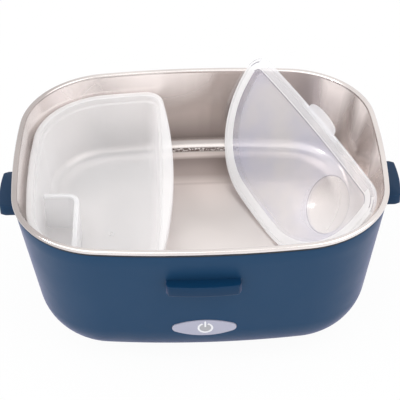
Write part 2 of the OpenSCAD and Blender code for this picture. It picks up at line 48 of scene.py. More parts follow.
# %% [markdown]
# ## Camera
# The view is a product shot from above the front: about 40 degrees down, from just under a metre.
# The turn is built from three directions, right, up and back, because that also gives the slight
# tilt of the camera about its own axis.

# %% Camera
CAMERA_AT = Vector((-8.610, -714.856, 649.365)) * MM
CAMERA_TURN = math.radians(-0.69)
CAMERA_DOWN = math.radians(39.823)
CAMERA_ROLL = math.radians(-1.205)

back = Vector((math.sin(CAMERA_TURN) * math.cos(CAMERA_DOWN),
               -math.cos(CAMERA_TURN) * math.cos(CAMERA_DOWN), math.sin(CAMERA_DOWN)))
level = Vector((math.cos(CAMERA_TURN), math.sin(CAMERA_TURN), 0.0))
upright = back.cross(level)
right = math.cos(CAMERA_ROLL) * level + math.sin(CAMERA_ROLL) * upright
up = math.cos(CAMERA_ROLL) * upright - math.sin(CAMERA_ROLL) * level

camera_data = bpy.data.cameras.new("camera")
camera_data.sensor_width = 36.0
camera_data.lens = 130.463
camera_data.shift_x = -0.0009
camera_data.shift_y = 0.0417
camera_data.clip_end = 20.0
camera = bpy.data.objects.new("camera", camera_data)
bpy.context.scene.collection.objects.link(camera)
turn = Matrix((right, up, back)).transposed().to_4x4()
camera.matrix_world = Matrix.Translation(CAMERA_AT) @ turn
bpy.context.scene.camera = camera
bpy.context.scene.view_settings.view_transform = "Standard"
print("camera at", [round(v, 3) for v in camera.location])

# %% [markdown]
# ## Outlines
# The casing, the tray and the food box are all drawn from arcs that run into each other. A true
# offset of such an outline keeps the arcs' middles and only changes their radii, so one list of
# arcs serves every level of a shell.


# %% Arcs that run into each other
def meeting_point(c0, r0, c1, r1):
    """Centre of a circle at r0 from c0 and r1 from c1, right of the line from c0 to c1."""
    line = c1 - c0
    d = line.length
    along = (r0 * r0 - r1 * r1 + d * d) / (2 * d)
    e = line / d
    return c0 + along * e + math.sqrt(r0 * r0 - along * along) * Vector((e.y, -e.x))


def bearing(v):
    return math.degrees(math.atan2(v.y, v.x))


def walk(arcs):
    """Points along [middle x, middle y, radius, start angle, end angle, steps] arcs."""
    points = []
    for x, y, r, t0, t1, steps in arcs:
        for i in range(steps):
            t = math.radians(t0 + (t1 - t0) * i / steps)
            points.append((x + r * math.cos(t), y + r * math.sin(t)))
    return points


def bowed_oblong(a, b, rc, rf, re):
    """Oblong of half lengths a and b with bowed sides: corners rc, front and back rf, ends re."""
    cf, ce = Vector((0.0, b - rf)), Vector((a - re, 0.0))
    c = meeting_point(cf, rf - rc, ce, re - rc)
    te, tf = bearing(c - ce), bearing(c - cf)
    end, corner, side = 10, 26, 16              # steps along each kind of arc
    return [(ce.x, 0, re, -te, te, end), (c.x, c.y, rc, te, tf, corner),
            (0, cf.y, rf, tf, 180 - tf, side), (-c.x, c.y, rc, 180 - tf, 180 - te, corner),
            (-ce.x, 0, re, 180 - te, 180 + te, end), (-c.x, -c.y, rc, 180 + te, 180 + tf, corner),
            (0, -cf.y, rf, 180 + tf, 360 - tf, side), (c.x, -c.y, rc, 360 - tf, 360 - te, corner)]


HALF_LENGTH, HALF_WIDTH = 115, 94               # of the rim's outline, in mm
CORNER_R, SIDE_R, END_R = 58, 580, 500


def casing_line(u):
    """The rim's outline moved out by u."""
    return walk(bowed_oblong(HALF_LENGTH + u, HALF_WIDTH + u, CORNER_R + u, SIDE_R + u, END_R + u))


print("points round the casing:", len(casing_line(0)))

# %% [markdown]
# The food box and its lid have a plan like a letter D. It is the left part of such an oblong,
# closed by an edge of its own, with a small round where the edge meets each long side.


# %% Outlines like a letter D
def dee(a, b, rc, rf, re, edge, edge_r, end_r):
    """The left part of a bowed oblong, closed by an edge of radius edge_r through x = edge."""
    left = bowed_oblong(a, b, rc, rf, re)[3:6]
    tc = left[0][3]                             # where the back runs into the left corner
    cf, ce = Vector((0.0, b - rf)), Vector((edge - edge_r, 0.0))
    s = meeting_point(cf, rf - end_r, ce, edge_r - end_r)
    ts, tb = bearing(s - ce), bearing(s - cf)
    return [(ce.x, 0, edge_r, -ts, ts, 30), (s.x, s.y, end_r, ts, tb, 14),
            (0, cf.y, rf, tb, tc, 8), *left,
            (0, -cf.y, rf, left[2][4], 360 - tb, 8), (s.x, -s.y, end_r, 360 - tb, 360 - ts, 14)]


BOX_EDGE_X = -16.2                              # right edge of the food box, where it is widest
STRAIGHT_X = -25.0                              # straight side of the flat lid


def food_box_line(u):
    """The wall behind the bowed edge is nearly straight, so the flange is widest in its middle."""
    d = -u
    behind = min(max(d - 1.3, 0) / 1.6, 1)      # 0 at the flange's outside, 1 at the wall
    return walk(dee(107.2 - d, 86.2 - d, 49.5 - d, SIDE_R - d, END_R - d, BOX_EDGE_X - d - 2.7 * behind,
                    460 + 840 * behind, max(12 - 0.7 * d, 4)))


def lid_line(u):
    d = -u
    return walk(dee(103.6 - d, 81.8 - d, 60 - d, SIDE_R - d, END_R - d, STRAIGHT_X - d, 1500,
                    max(14 - d, 4)))


print("points round the food box:", len(food_box_line(0)), "and round its lid:", len(lid_line(0)))

# %% [markdown]
# ## Shells from rings
# A moulded or pressed shell is the same outline at many levels. By hand this is a circle that is
# extruded again and again, each new ring pulled onto the next line of the section. Each vertex
# remembers its station along the outline, and an extruded vertex takes it over, so a ring can be
# laid on any offset of the outline.


# %% A shell, ring by ring
def pick_only(piece):
    bpy.ops.object.select_all(action="DESELECT")
    piece.select_set(True)
    bpy.context.view_layer.objects.active = piece


def start_piece(name):
    """Names the primitive that was just added."""
    bpy.ops.object.select_all(action="DESELECT")
    piece = bpy.context.object
    piece.name = name
    piece.data.name = name
    return piece


def lay_ring(piece, points, z):
    """Lays the selected ring on an outline, each vertex at its own station."""
    mesh = bmesh.from_edit_mesh(piece.data)
    station = mesh.verts.layers.int.get("station")
    for v in mesh.verts:
        if v.select:
            x, y = points[v[station]]
            v.co = Vector((x, y, z)) * MM
    bmesh.update_edit_mesh(piece.data)


def select_rings(piece, rings, count):
    """Selects whole rings by their number. Each has count vertices, one ring after the other."""
    mesh = bmesh.from_edit_mesh(piece.data)
    mesh.verts.ensure_lookup_table()
    for v in mesh.verts:
        v.select = v.index // count in rings
    mesh.select_mode = {"VERT"}
    mesh.select_flush_mode()
    bmesh.update_edit_mesh(piece.data)


def finish_shading(piece, angle=35):
    """Smooth where the surface runs on, sharp where it turns by more than the angle."""
    pick_only(piece)
    bpy.ops.object.shade_smooth_by_angle(angle=math.radians(angle))


def ring_shell(name, rows, outline, looped=False):
    """Rows are (offset, height) in mm. Looped joins the last ring to the first; otherwise the
    first and last ring are closed by a flat face."""
    count, last = len(outline(0)), len(rows) - 1
    bpy.ops.object.select_all(action="DESELECT")
    bpy.ops.mesh.primitive_circle_add(vertices=count, radius=0.1)
    piece = start_piece(name)
    bpy.ops.object.mode_set(mode="EDIT")
    bpy.ops.mesh.select_mode(type="EDGE")
    bpy.ops.mesh.select_all(action="SELECT")
    mesh = bmesh.from_edit_mesh(piece.data)
    station = mesh.verts.layers.int.new("station")
    mesh.verts.ensure_lookup_table()
    for v in mesh.verts:
        v[station] = v.index
    bmesh.update_edit_mesh(piece.data)
    for i, (u, z) in enumerate(rows):
        if i:
            bpy.ops.mesh.extrude_edges_move()
        lay_ring(piece, outline(u), z)
    if looped:
        select_rings(piece, (0, last), count)
        bpy.ops.mesh.bridge_edge_loops()
    else:
        for ring in (0, last):
            select_rings(piece, (ring,), count)
            bpy.ops.mesh.edge_face_add()
    bpy.ops.mesh.select_all(action="SELECT")
    bpy.ops.mesh.normals_make_consistent(inside=False)
    bpy.ops.object.mode_set(mode="OBJECT")
    finish_shading(piece)
    print(name, "has", len(piece.data.polygons), "faces")
    return piece


# %% [markdown]
# ## Finishes
# Every finish starts from the Principled shader. A noise on Object coordinates varies the colour
# a little, a second one the roughness, and a fine one the surface itself, each at the size that
# it has on the real material.


# %% Finishes: the common parts
def finish(name, colour, roughness, metallic=0.0):
    mat = bpy.data.materials.new(name)
    mat.use_nodes = True
    shader = mat.node_tree.nodes["Principled BSDF"]
    shader.inputs["Base Color"].default_value = (*colour, 1.0)
    shader.inputs["Roughness"].default_value = roughness
    shader.inputs["Metallic"].default_value = metallic
    return mat, shader


def noise(mat, scale, stretch=(1, 1, 1), detail=3.0, rough=0.5):
    """A noise on Object coordinates: scale is in spots per metre."""
    nodes, links = mat.node_tree.nodes, mat.node_tree.links
    place = nodes.new("ShaderNodeTexCoord")
    mapping = nodes.new("ShaderNodeMapping")
    mapping.inputs["Scale"].default_value = stretch
    texture = nodes.new("ShaderNodeTexNoise")
    texture.inputs["Scale"].default_value = scale
    texture.inputs["Detail"].default_value = detail
    texture.inputs["Roughness"].default_value = rough
    links.new(place.outputs["Object"], mapping.inputs["Vector"])
    links.new(mapping.outputs["Vector"], texture.inputs["Vector"])
    return texture.outputs["Fac"]


def between(mat, fac, low, high, start=0.3, end=0.7):
    """Takes a noise to a number between low and high."""
    node = mat.node_tree.nodes.new("ShaderNodeMapRange")
    node.inputs["From Min"].default_value = start
    node.inputs["From Max"].default_value = end
    node.inputs["To Min"].default_value = low
    node.inputs["To Max"].default_value = high
    mat.node_tree.links.new(fac, node.inputs["Value"])
    return node.outputs["Result"]


def give(mat, value, socket):
    """Puts another node's output, a colour or a number on a socket."""
    if isinstance(value, bpy.types.NodeSocket):
        mat.node_tree.links.new(value, socket)
    else:
        socket.default_value = (*value, 1.0) if isinstance(value, tuple) else value


def blend_colours(mat, fac, a, b, how="MIX"):
    node = mat.node_tree.nodes.new("ShaderNodeMix")
    node.data_type = "RGBA"
    node.blend_type = how
    for socket, value in (("Factor", fac), ("A", a), ("B", b)):
        give(mat, value, node.inputs[socket])
    return node.outputs["Result"]


def relief(mat, shader, height, depth):
    """Depth is the real height of the relief in metres."""
    node = mat.node_tree.nodes.new("ShaderNodeBump")
    node.inputs["Strength"].default_value = 1.0
    node.inputs["Distance"].default_value = depth
    mat.node_tree.links.new(height, node.inputs["Height"])
    mat.node_tree.links.new(node.outputs["Normal"], shader.inputs["Normal"])


def shade(colour, factor):
    return tuple(min(1.0, c * factor) for c in colour)


def moulded(name, colour, roughness, grain, depth, vary):
    """Injection moulded plastic: nearly one colour, with the fine spark texture of its mould."""
    mat, shader = finish(name, colour, roughness)
    links = mat.node_tree.links
    tint = blend_colours(mat, noise(mat, 14), shade(colour, 1 - vary), shade(colour, 1 + vary))
    links.new(tint, shader.inputs["Base Color"])
    links.new(between(mat, noise(mat, 60), roughness - 0.04, roughness + 0.05), shader.inputs["Roughness"])
    relief(mat, shader, noise(mat, grain, detail=2), depth)
    return mat


# %% [markdown]
# ## Casing
# The casing is one navy moulding: a bowed wall that leans in towards a wide round at the bottom.
# It has a real wall, so the top edge and the cut-outs show their thickness. The section is
# walked from the bottom opening up the outside, over the top edge and down the inside, where a
# rebate makes room for the liner.


# %% Rounds in a section
def turn_rows(uc, zc, r, t0, t1, steps):
    """Part of a round in a section, about (uc, zc)."""
    rows = []
    for i in range(steps + 1):
        t = math.radians(t0 + (t1 - t0) * i / steps)
        rows.append((uc + r * math.cos(t), zc + r * math.sin(t)))
    return rows


def round_middle(u1, z1, z0, r, lean):
    """Middle of the round between a floor at z0 and a wall through (u1, z1) that leans in."""
    t = math.radians(lean)
    return u1 - (z1 - z0 - r) * math.tan(t) - r / math.cos(t)


# %% Casing shell
LEAN = 8.6
WALL_TOP = 100.5
WALL = 2.0
WALL_IN = 1                                     # from the rim's outline to the wall's outside
REBATE = -2.1
REBATE_Z = 81.5
OPENING = -50.0
UNDERSIDE = 1.5
BOTTOM_R = 36.0

outer_round = round_middle(-WALL_IN, WALL_TOP, UNDERSIDE, BOTTOM_R, LEAN)
inner_round = round_middle(-WALL_IN - WALL, WALL_TOP, UNDERSIDE + WALL, BOTTOM_R - WALL, LEAN)
casing_rows = [(OPENING, UNDERSIDE)]
casing_rows += turn_rows(outer_round, UNDERSIDE + BOTTOM_R, BOTTOM_R, 270, 360 - LEAN, 26)
casing_rows += [(-2.5, 90.6), (-1.12, 99.7), (-1.2, 100.25), (-1.45, WALL_TOP)]
rebate_lean = (WALL_TOP - REBATE_Z) * math.tan(math.radians(LEAN))
casing_rows += [(REBATE, WALL_TOP), (REBATE - rebate_lean, REBATE_Z),
                (-WALL_IN - WALL - rebate_lean, REBATE_Z)]
casing_rows += turn_rows(inner_round, UNDERSIDE + BOTTOM_R, BOTTOM_R - WALL, 360 - LEAN, 270, 14)
casing_rows += [(OPENING, UNDERSIDE + WALL)]
casing = ring_shell("casing", casing_rows, casing_line, looped=True)

# %% [markdown]
# Holes are cut with pieces too. A cutter is a filled circle whose vertices are laid on a flat
# outline, and which is then extruded. It is moved to its place and taken out of the shell by a
# Boolean modifier. The place of every piece is applied, so that its object sits at the origin.


# %% Flat outlines, their place and their cuts
def prism(name, points, z0, z1):
    """A flat outline filled and extruded from z0 to z1, in mm."""
    bpy.ops.object.select_all(action="DESELECT")
    bpy.ops.mesh.primitive_circle_add(vertices=len(points), radius=0.01, fill_type="NGON")
    piece = start_piece(name)
    for v, (x, y) in zip(piece.data.vertices, points):
        v.co = Vector((x, y, z0)) * MM
    bpy.ops.object.mode_set(mode="EDIT")
    bpy.ops.mesh.select_all(action="SELECT")
    bpy.ops.mesh.extrude_region_move(TRANSFORM_OT_translate={"value": (0, 0, (z1 - z0) * MM)})
    bpy.ops.mesh.select_all(action="SELECT")
    bpy.ops.mesh.normals_make_consistent(inside=False)
    bpy.ops.object.mode_set(mode="OBJECT")
    return piece


def settle(piece, place=None):
    """Moves a piece to its place and applies it, so that its object sits at the origin, unturned."""
    if place is not None:
        piece.matrix_world = place
    pick_only(piece)
    bpy.ops.object.transform_apply(location=True, rotation=True, scale=True)


def use_cutter(piece, cutter):
    """Cuts one closed piece out of another, and deletes the cutter."""
    pick_only(piece)
    cut = piece.modifiers.new("cut", "BOOLEAN")
    cut.operation = "DIFFERENCE"
    cut.solver = "EXACT"
    cut.object = cutter
    bpy.ops.object.modifier_apply(modifier=cut.name)
    bpy.data.objects.remove(cutter, do_unlink=True)


# %% [markdown]
# The button's hole goes through the front wall, square to its leaning face. The same oval, a
# little smaller, starts the button itself.

# %% Oval of the button, and its place on the wall
BUTTON_Z = 35.2
BUTTON_Y = -(HALF_WIDTH - (WALL_TOP - BUTTON_Z) * math.tan(math.radians(LEAN)) - WALL_IN)
AT_BUTTON = (Matrix.Translation(Vector((0, BUTTON_Y, BUTTON_Z)) * MM)
             @ Matrix.Rotation(math.radians(90 + LEAN), 4, "X"))


def oval_points(length, width, end_r):
    """Oval of four tangent arcs, counter-clockwise."""
    side_steps, end_steps = 28, 12
    c = length / 2 - end_r
    big = (c * c + width * width / 4 - end_r * end_r) / (width - 2 * end_r)
    t = math.degrees(math.atan2(big - width / 2, c))
    return walk([(c, 0, end_r, -t, t, end_steps), (0, width / 2 - big, big, t, 180 - t, side_steps),
                 (-c, 0, end_r, 180 - t, 180 + t, end_steps),
                 (0, big - width / 2, big, 180 + t, 360 - t, side_steps)])


button_cutter = prism("button_cutter", oval_points(39.6, 15.0, 3.9), -20, 10)
settle(button_cutter, AT_BUTTON)
use_cutter(casing, button_cutter)
print("button's middle on the wall:", [round(v, 4) for v in AT_BUTTON.translation])

# %% [markdown]
# The inlet sits in the back wall on a flat pad. The pad is a rounded block whose outer face is
# upright, and the opening for the socket goes right through it. A shallow seat is cut for the
# inlet's flange where the round wall stands prouder than the pad.


# %% Inlet pad and its opening
def rounded_points(length, width, r):
    x, y, steps = length / 2 - r, width / 2 - r, 8
    return walk([(x, y, r, 0, 90, steps), (-x, y, r, 90, 180, steps),
                 (-x, -y, r, 180, 270, steps), (x, -y, r, 270, 360, steps)])


INLET_Z = 27.0
INLET_FACE = 83.0
AT_INLET = (Matrix.Translation(Vector((0, INLET_FACE, INLET_Z)) * MM)
            @ Matrix.Rotation(math.radians(-90), 4, "X"))
SOCKET = rounded_points(22.6, 13.6, 3.3)

inlet_cutter = prism("inlet_cutter", SOCKET, -30, 10)
settle(inlet_cutter, AT_INLET)
flange_seat = prism("flange_seat", rounded_points(38.6, 18.6, 5.3), 0, 10)
settle(flange_seat, AT_INLET)
inlet_pad = prism("inlet_pad", rounded_points(42, 21, 5), -8, 0)
use_cutter(inlet_pad, prism("pad_hole", SOCKET, -20, 10))
settle(inlet_pad, AT_INLET)
finish_shading(inlet_pad)
use_cutter(casing, flange_seat)
use_cutter(casing, inlet_cutter)
finish_shading(casing)
print("casing with its holes:", len(casing.data.polygons), "faces")

# %% [markdown]
# Four catches stand out of the wall, one on each side, for the clips of a lid. Each is a bar with
# a slightly bowed face and slanted ends. Its plan is extruded, its edges are rounded with a bevel,
# and a slot for the clip's hook is cut into it from below. Each of the four has its own mesh.

# %% Catches
CATCH_TOP, CATCH_HEIGHT = 80.5, 7.0


def soften(piece, width, segments, angle=None):
    """Rounds the edges that are sharper than the angle, by a width in mm."""
    pick_only(piece)
    bevel = piece.modifiers.new("bevel", "BEVEL")
    bevel.width = width * MM
    bevel.segments = segments
    bevel.limit_method = "ANGLE"
    if angle:
        bevel.angle_limit = math.radians(angle)
    bpy.ops.object.modifier_apply(modifier=bevel.name)


def catch(name, length, reach, near, turn_deg):
    """A bar from near to reach, in mm from the casing's middle, turned to its own side."""
    bow, cut = 1.5, 3.0                         # of the face, and of its slanted ends
    half, bottom = length / 2, CATCH_TOP - CATCH_HEIGHT
    face_r = (length * length / 4 + bow * bow) / (2 * bow)
    front = [(half - cut * 0.45 - (length - cut * 0.9) * i / 16) for i in range(17)]
    points = [(-half, near), (half, near), (half, reach - cut - bow)]
    points += [(x, reach - face_r + math.sqrt(face_r * face_r - x * x)) for x in front]
    points += [(-half, reach - cut - bow)]
    bar = prism(name, points, bottom, CATCH_TOP)
    soften(bar, 0.7, 3, 28)
    end, back, face = half - 4, reach - 5, reach - 2.4      # of the slot
    slot = [(-end, back), (end, back), (end, face), (-end, face)]
    use_cutter(bar, prism("slot", slot, bottom - 1, bottom + 2))
    settle(bar, Matrix.Rotation(math.radians(turn_deg), 4, "Z"))
    finish_shading(bar, 30)
    return bar


catches = [catch("catch_front", 44, 97.6, 88, 180), catch("catch_back", 44, 97.6, 88, 0),
           catch("catch_left", 36, 126, 109, 90), catch("catch_right", 36, 126, 109, -90)]
print("catches:", [bar.name for bar in catches])

# %% [markdown]
# The casing's plastic is a satin navy. Its colour is kept deep, because the pale studio adds a
# veil of reflected white to it, which is what lifts the colour on the real one too. The catches,
# moulded of the same plastic, get a darker copy of it: painted shade.

# %% Navy plastic
navy = moulded("navy_plastic", (0.0065, 0.045, 0.109), roughness=0.42, grain=1400, depth=3e-6, vary=0.05)
# Darker copy of the navy for the catches: painted shade.
navy_painted_shade = moulded("navy_catch_painted_shade", (0.002, 0.030, 0.080), roughness=0.36, grain=1400, depth=3e-6, vary=0.05)
for mat in (navy, navy_painted_shade):
    shader = mat.node_tree.nodes["Principled BSDF"]
    shader.inputs["Specular IOR Level"].default_value = 0.2
    shader.inputs["Sheen Weight"].default_value = 0.4
    shader.inputs["Sheen Roughness"].default_value = 0.3
    shader.inputs["Sheen Tint"].default_value = (0.80, 0.72, 1.0, 1.0)
casing.data.materials.append(navy)
inlet_pad.data.materials.append(navy)
for bar in catches:
    bar.data.materials.append(navy_painted_shade)
for piece in [casing, inlet_pad] + catches:
    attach(piece, "base")
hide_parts("outer_shell")
print("navy pieces:", 2 + len(catches))

# %% [markdown]
# ## Steel tray
# The tray is pressed from one sheet, so it has a round at the floor, a wall that leans out for
# draft and a rim rolled outwards. It is made as a thin closed skin: up the outside, round the
# roll and down the inside.

# %% Tray
SHEET = 0.8
RIM_TOP = 105.0
ROLL = 1.6
TRAY_FLOOR = 49.3
TRAY_R = 9.0
TRAY_LEAN = 11.2
RIM_W = 3.6
FLOOR_RINGS = (-23, -25, -28, -32, -38, -45, -53)
hang = RIM_TOP - ROLL                           # middle of the rim's roll
tray_round = round_middle(-RIM_W, hang, TRAY_FLOOR, TRAY_R, TRAY_LEAN)
tray_rows = [(-40, TRAY_FLOOR - SHEET)]
tray_rows += turn_rows(tray_round, TRAY_FLOOR + TRAY_R, TRAY_R + SHEET, 270, 360 - TRAY_LEAN, 14)
tray_rows += [(SHEET - RIM_W - ROLL * math.tan(math.radians(TRAY_LEAN)), RIM_TOP - 2 * ROLL)]
tray_rows += turn_rows(-ROLL, hang, ROLL, 270, 450, 14)
tray_rows += turn_rows(ROLL - RIM_W, hang, ROLL, 90, 180, 8)
tray_rows += [(-3.73, hang - 0.5), (-3.95, hang - 1.6)]
tray_rows += turn_rows(tray_round, TRAY_FLOOR + TRAY_R, TRAY_R, 360 - TRAY_LEAN, 270, 16)
tray_rows += [(u, TRAY_FLOOR) for u in FLOOR_RINGS]
tray = ring_shell("tray_shell", tray_rows, casing_line)

# %% [markdown]
# The tray's reflections are painted into its colour. Along its foot there is a painted bright line
# where the floor begins to rise, a painted dark reflection above it and a darker belt up to the
# straight wall; the floor is painted darker near the back, as the wall's reflection. The wall has
# soft upright bands of painted reflection. A few stops, (place, tone), describe both, and each
# vertex gets the tone of its place as an attribute. Tone 1 is the plain steel, 0 the darkest
# painted reflection, and 2 a painted bright reflection.

# %% Stops of the tone
# The stops paint the steel's reflections: low tones are painted dark reflections, high ones painted bright
# ones.
# FOOT: mm along the section from the floor's edge, up the wall or (below 0) along the floor, tone
FOOT = ((-52, 1.2), (-40, 0.96), (-28, 0.29), (-10, 0.24), (-6, 0.24), (-2.5, 0.8), (0, 1.3),
        (1.5, 0.9), (2.3, 0.08), (4.7, 0.08), (5.5, 0.85), (6.2, 0.7), (10, 0.6), (12, 0.4),
        (15.6, 0.46), (16.4, 0.9), (24, 1.05))
# BANDS: share of the way round from the right end (0) to the left end (1), tone
BANDS = ((0.0, 1.9), (0.03, 1.4), (0.07, 1.5), (0.10, 2.0), (0.13, 2.0), (0.17, 1.3), (0.20, 1.7),
         (0.22, 2.0), (0.275, 2.0), (0.32, 0.9), (0.36, 0.85), (0.455, 0.82), (0.473, 1.1),
         (0.484, 1.45), (0.495, 1.65), (0.513, 1.8), (0.535, 1.9), (0.63, 1.4), (0.69, 1.6),
         (0.74, 1.35), (0.80, 1.3), (0.87, 1.35), (0.94, 1.25), (1.0, 1.25))


def tone_at(stops, place):
    """Straight lines between stops."""
    if place <= stops[0][0]:
        return stops[0][1]
    for (p0, t0), (p1, t1) in zip(stops, stops[1:]):
        if place <= p1:
            return t0 + (t1 - t0) * (place - p0) / (p1 - p0)
    return stops[-1][1]


def smooth(low, high, value):
    """From 0 at low to 1 at high, with a soft start and end."""
    x = min(1.0, max(0.0, (value - low) / (high - low)))
    return x * x * (3 - 2 * x)


def inside_tone(s, side, x, y):
    """Tone of a place inside the tray: s as in FOOT, side as in BANDS, x and y in mm."""
    along, around = tone_at(FOOT, s), tone_at(BANDS, side)
    if s < 0:                                   # on the floor both fade out towards the front
        at_back = smooth(10, 45, y)
        along = 1 + (along - 1) * at_back
        around = 1 + (around - 1) * (0.35 * at_back)
    else:
        if along < 1:                           # the dark belts are weaker towards both ends
            along = 1 + (along - 1) * (1 - 0.75 * smooth(62, 92, abs(x)))
        around = 1 + (around - 1) * smooth(8, 24, s)
    if y < -40:                                 # the front wall is plain
        around = 1.1
    return along * around


print("stops along the foot:", len(FOOT), "and round the wall:", len(BANDS))

# %% [markdown]
# The vertices of a ring shell come ring by ring, so a vertex's number gives both its ring and its
# station. The way along the section is measured once for each ring, from where the round meets
# the floor: up the wall it counts up, and on the floor it counts down.

# %% Tone of the tray, vertex by vertex
OUTSIDE_TONE = 0.78
RIM_TONE = 0.95
# RIM_FADE makes the rim's colour darker towards the left end; its gloss stays.
RIM_FADE = 0.38                                 # how much duller the rim gets at the left end
BAND_START = 5                                  # station that the bands are counted from
WALL_REACH = 60                                 # end of the wall, along the section
LAST_UNDER = 15                                 # last ring of the round on the outside

round_count = len(casing_line(0))
foot_ring = len(tray_rows) - 1 - len(FLOOR_RINGS)
reach = [0.0] * len(tray_rows)
for i in range(foot_ring - 1, -1, -1):
    reach[i] = reach[i + 1] + math.dist(tray_rows[i], tray_rows[i + 1])
for i in range(foot_ring + 1, len(tray_rows)):
    reach[i] = reach[i - 1] - math.dist(tray_rows[i], tray_rows[i - 1])
# Each vertex gets its tone of painted reflection as an attribute.
tone = tray.data.attributes.new("tone", "FLOAT", "POINT")
for i, v in enumerate(tray.data.vertices):
    ring_at, station_at = divmod(i, round_count)
    x, y, z = (c / MM for c in v.co)
    side = (((station_at - BAND_START) / round_count) % 1.0) * 2
    side = min(side, 2 - side)
    if z > TRAY_FLOOR - 0.1 and ring_at > LAST_UNDER and reach[ring_at] < WALL_REACH:
        tone.data[i].value = inside_tone(reach[ring_at], side, x, y)
    elif z < hang - ROLL - 1:
        tone.data[i].value = OUTSIDE_TONE
    else:
        tone.data[i].value = RIM_TONE - RIM_FADE * smooth(60, 100, -x)
tones = [t.value for t in tone.data]
print("tones from", round(min(tones), 2), "to", round(max(tones), 2))

# %% [markdown]
# The steel itself is a warm grey. A ramp turns the tone into its colour, from the painted dark
# reflections to the painted bright ones, and faint upright bands of painted reflection, a noise
# stretched along Z, go over it. Small spots in the dark belt at the foot are painted back to the
# steel's own colour: painted highlights, as glints.


# %% Tray steel: colour
def combine(mat, operation, a, b):
    """A Math node on two sockets, or on a socket and a number."""
    node = mat.node_tree.nodes.new("ShaderNodeMath")
    node.operation = operation
    give(mat, a, node.inputs[0])
    give(mat, b, node.inputs[1])
    return node.outputs[0]


STEEL = (0.86, 0.80, 0.775)
# DARK_STEEL and BRIGHT_STEEL are the colours of the painted dark and bright reflections.
DARK_STEEL = (0.085, 0.052, 0.045)
BRIGHT_STEEL = (0.975, 0.89, 0.86)
tray_steel, steel_shader = finish("drawn_steel", STEEL, 0.2, metallic=1.0)
nodes, links = tray_steel.node_tree.nodes, tray_steel.node_tree.links
tone_read = nodes.new("ShaderNodeAttribute")
tone_read.attribute_name = "tone"
tone_fac = tone_read.outputs["Fac"]
tone_ramp = nodes.new("ShaderNodeValToRGB")
tone_ramp.color_ramp.elements[0].color = (*DARK_STEEL, 1)
tone_ramp.color_ramp.elements[1].color = (*BRIGHT_STEEL, 1)
tone_ramp.color_ramp.elements.new(0.5).color = (*STEEL, 1)
links.new(between(tray_steel, tone_fac, 0.0, 1.0, 0.0, 2.0), tone_ramp.inputs["Fac"])
# Faint upright bands of painted reflection.
soft_bands = between(tray_steel, noise(tray_steel, 26, (1, 1, 0.06), detail=1), 0.0, 1.0, 0.36, 0.64)
painted_band_tint = blend_colours(tray_steel, soft_bands, (0.92, 0.92, 0.92), (1.0, 1.0, 1.0))
painted_reflections = blend_colours(tray_steel, 1.0, tone_ramp.outputs["Color"], painted_band_tint, "MULTIPLY")
# Painted highlights: small spots in the dark belt are painted back to the plain steel colour.
glint_spots = between(tray_steel, noise(tray_steel, 900, detail=1), 0.0, 1.0, 0.48, 0.64)
glint_place = between(tray_steel, tone_fac, 0.7, 0.0, 0.12, 0.2)
glints = combine(tray_steel, "MULTIPLY", glint_spots, glint_place)
links.new(blend_colours(tray_steel, glints, painted_reflections, STEEL), steel_shader.inputs["Base Color"])
print("steel tones:", DARK_STEEL, STEEL, BRIGHT_STEEL)

# %% [markdown]
# Where the tone paints a bright reflection, the steel is made less metallic, so that its pale
# colour catches the lamps' light directly as a painted highlight. A slow noise gives the cloudy
# gloss, and the floor, which spoons and boxes have rubbed, is duller than the walls. The faint
# lines where the sheet slid over the tool run up the walls, so their noise is stretched along Z.

# %% Tray steel: haze, gloss and draw lines
# Painted highlight: the bright painted tone is made less metallic.
links.new(between(tray_steel, tone_fac, 1.0, 0.1, 1.2, 2.0), steel_shader.inputs["Metallic"])
height = nodes.new("ShaderNodeSeparateXYZ")
links.new(nodes.new("ShaderNodeTexCoord").outputs["Object"], height.inputs[0])
floor_haze = between(tray_steel, height.outputs["Z"], 0.15, 0.0, 0.0493, 0.0505)
cloudy = between(tray_steel, noise(tray_steel, 34, detail=1), 0.15, 0.23)
links.new(combine(tray_steel, "ADD", cloudy, floor_haze), steel_shader.inputs["Roughness"])
draw_lines = noise(tray_steel, 260, (1, 1, 0.04), detail=2)
relief(tray_steel, steel_shader, draw_lines, 2.5e-7)
tray.data.materials.append(tray_steel)
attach(tray, "tray")
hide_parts("steel_tray")
print("nodes in the steel:", len(nodes))

# %% [markdown]
# ## Food box
# The food box is a thin moulded tub with a plan like a letter D. Its flange carries a short lip
# that stiffens it, the wall steps in under the flange and has draft, and the floor meets it in a
# round.

# %% Food box shell
BOX_TOP = 92.5
BOX_UNDER = TRAY_FLOOR + 0.3
BOX_WALL = 1.4
BOX_R = 7.0
BOX_LEAN = 4.0
LEDGE = 2.9
STEP = 1.5
LEDGE_Z = 86.6
LIP_T, LIP_DOWN = 1.3, 2.5                      # the lip that hangs from the flange
FLOOR_IN = 16                                   # last ring of the floor, in from the wall's foot
flange_under = BOX_TOP - 1.5
box_out = LEDGE + STEP + (LEDGE_Z - BOX_UNDER - BOX_R) * math.tan(math.radians(BOX_LEAN))
box_rows = [(-box_out - FLOOR_IN, BOX_UNDER)]
box_rows += turn_rows(-box_out - BOX_R, BOX_UNDER + BOX_R, BOX_R, 270, 360 - BOX_LEAN, 10)
box_rows += [(-LEDGE - STEP, LEDGE_Z - 0.2), (-LEDGE - STEP + 0.3, LEDGE_Z + 0.2),
             (-LEDGE - 0.2, LEDGE_Z + 0.5), (-LEDGE, LEDGE_Z + 0.8), (-LEDGE, flange_under)]
box_rows += [(-LIP_T, flange_under), (-LIP_T, flange_under - LIP_DOWN), (0, flange_under - LIP_DOWN),
             (0, BOX_TOP - 0.6), (-0.2, BOX_TOP - 0.17), (-0.6, BOX_TOP)]
